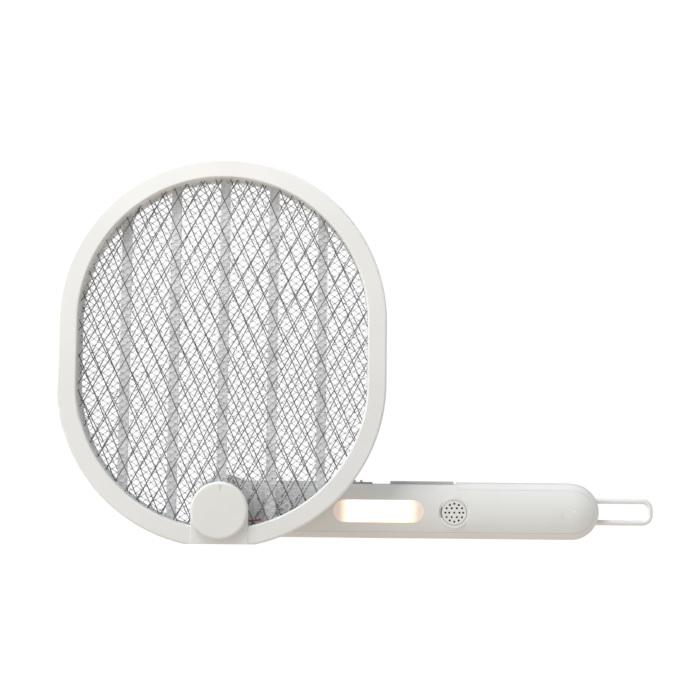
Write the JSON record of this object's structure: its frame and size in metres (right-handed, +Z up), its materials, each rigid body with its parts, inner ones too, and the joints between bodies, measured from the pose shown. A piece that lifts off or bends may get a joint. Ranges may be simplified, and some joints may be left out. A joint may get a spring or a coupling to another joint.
{
  "type": "electric fly swatter",
  "caption": "Folding electric fly swatter: round-ended mesh head that turns on a rounded handle with a lamp window, push button, slide switch and hanging loop.",
  "frame": {"origin": "middle of the footprint of the whole swatter, on the surface it stands on", "axes": "+X along the handle towards the hanging loop, -Y out of the face of the head, +Z up"},
  "size_m": [0.4092, 0.0614, 0.2607],
  "materials": {
    "white_shell": "satin off-white moulded ABS",
    "white_cap": "satin off-white",
    "pale_insulator": "matte",
    "rib_plastic": "pale translucent grey",
    "guard_wire": "dull galvanised wire",
    "live_wire": "fine bright wire",
    "screw_steel": "zinc plated",
    "spring_steel": "rolled spring steel",
    "socket_steel": "drawn shell",
    "board": "solder mask",
    "red_lead": "wire insulation",
    "black_lead": "wire insulation",
    "black_plastic": "matte",
    "lamp_window": "frosted diffuser",
    "reflector_white": "white reflector",
    "led_phosphor": "phosphor",
    "scent_pad": "felt",
    "deck_plastic": "satin off-white",
    "grey_key": "satin warm grey",
    "grey_knob": "satin grey",
    "cell_wrap": "plain shrink wrap",
    "ferrite": "potted block",
    "capacitor_film": "dipped film",
    "light_window": "translucent",
    "loop_plastic": "satin off-white"
  },
  "bodies": {
    "handle": {"axle": "black_plastic", "retainer_plate": "spring_steel", "retainer_screws": "screw_steel", "spring_washer": "spring_steel", "detent_disc": "pale_insulator", "axle_leads": "red_lead", "handle_front_cover": "white_shell", "handle_rear_shell": "white_shell", "handle_screws": "screw_steel", "lamp_lens": "lamp_window", "lamp_reflector": "reflector_white", "led_board": "board", "lamp_leds": "led_phosphor", "lure_pad": "scent_pad", "lure_tray": "black_plastic", "control_deck": "deck_plastic", "press_switch": "black_plastic", "mode_switch": "black_plastic", "loop_guide": "pale_insulator", "battery_cell": "cell_wrap", "battery_contacts": "spring_steel", "main_board": "board", "hv_transformer": "ferrite", "hv_capacitor": "capacitor_film", "charge_board": "board", "charging_socket": "socket_steel", "charge_light": "light_window"},
    "head": {"head_front_bezel": "white_shell", "head_rear_frame": "white_shell", "spacer_ring": "pale_insulator", "front_guard_mesh": "guard_wire", "rear_guard_mesh": "guard_wire", "hv_mesh": "live_wire", "rib_frame": "rib_plastic", "head_screws": "screw_steel", "pivot_cap": "white_cap", "contact_board": "board", "hv_terminal": "screw_steel", "hv_lead": "red_lead", "earth_lead": "black_lead", "detent_leaf": "spring_steel"},
    "lure_cap": {"grille_cap": "white_cap"},
    "zap_button": {"zap_button": "grey_key", "button_plunger": "grey_key"},
    "mode_knob": {"mode_knob": "grey_knob"},
    "hanging_loop": {"hanging_loop": "loop_plastic"}
  },
  "joints": [
    {"name": "head_fold", "type": "hinge", "parent": "handle", "child": "head", "pos_m": [-0.0936, -0.0137, 0.0224], "axis": [0, 1, 0], "range_deg": [-90, 90]},
    {"name": "zap_button_press", "type": "slide", "parent": "handle", "child": "zap_button", "axis": [0, 0, -1], "range_m": [0, 0.0013], "stiffness_N_per_m": 1500, "springref_m": -0.0008},
    {"name": "mode_knob_slide", "type": "slide", "parent": "handle", "child": "mode_knob", "axis": [1, 0, 0], "range_m": [0, 0.009]},
    {"name": "lure_cap_turn", "type": "hinge", "parent": "handle", "child": "lure_cap", "pos_m": [0.0653, 0.0013, 0.0214], "axis": [0, 1, 0], "range_deg": [0, 45]},
    {"name": "hanging_loop_slide", "type": "slide", "parent": "handle", "child": "hanging_loop", "axis": [1, 0, 0], "range_m": [-0.033, 0]}
  ]
}
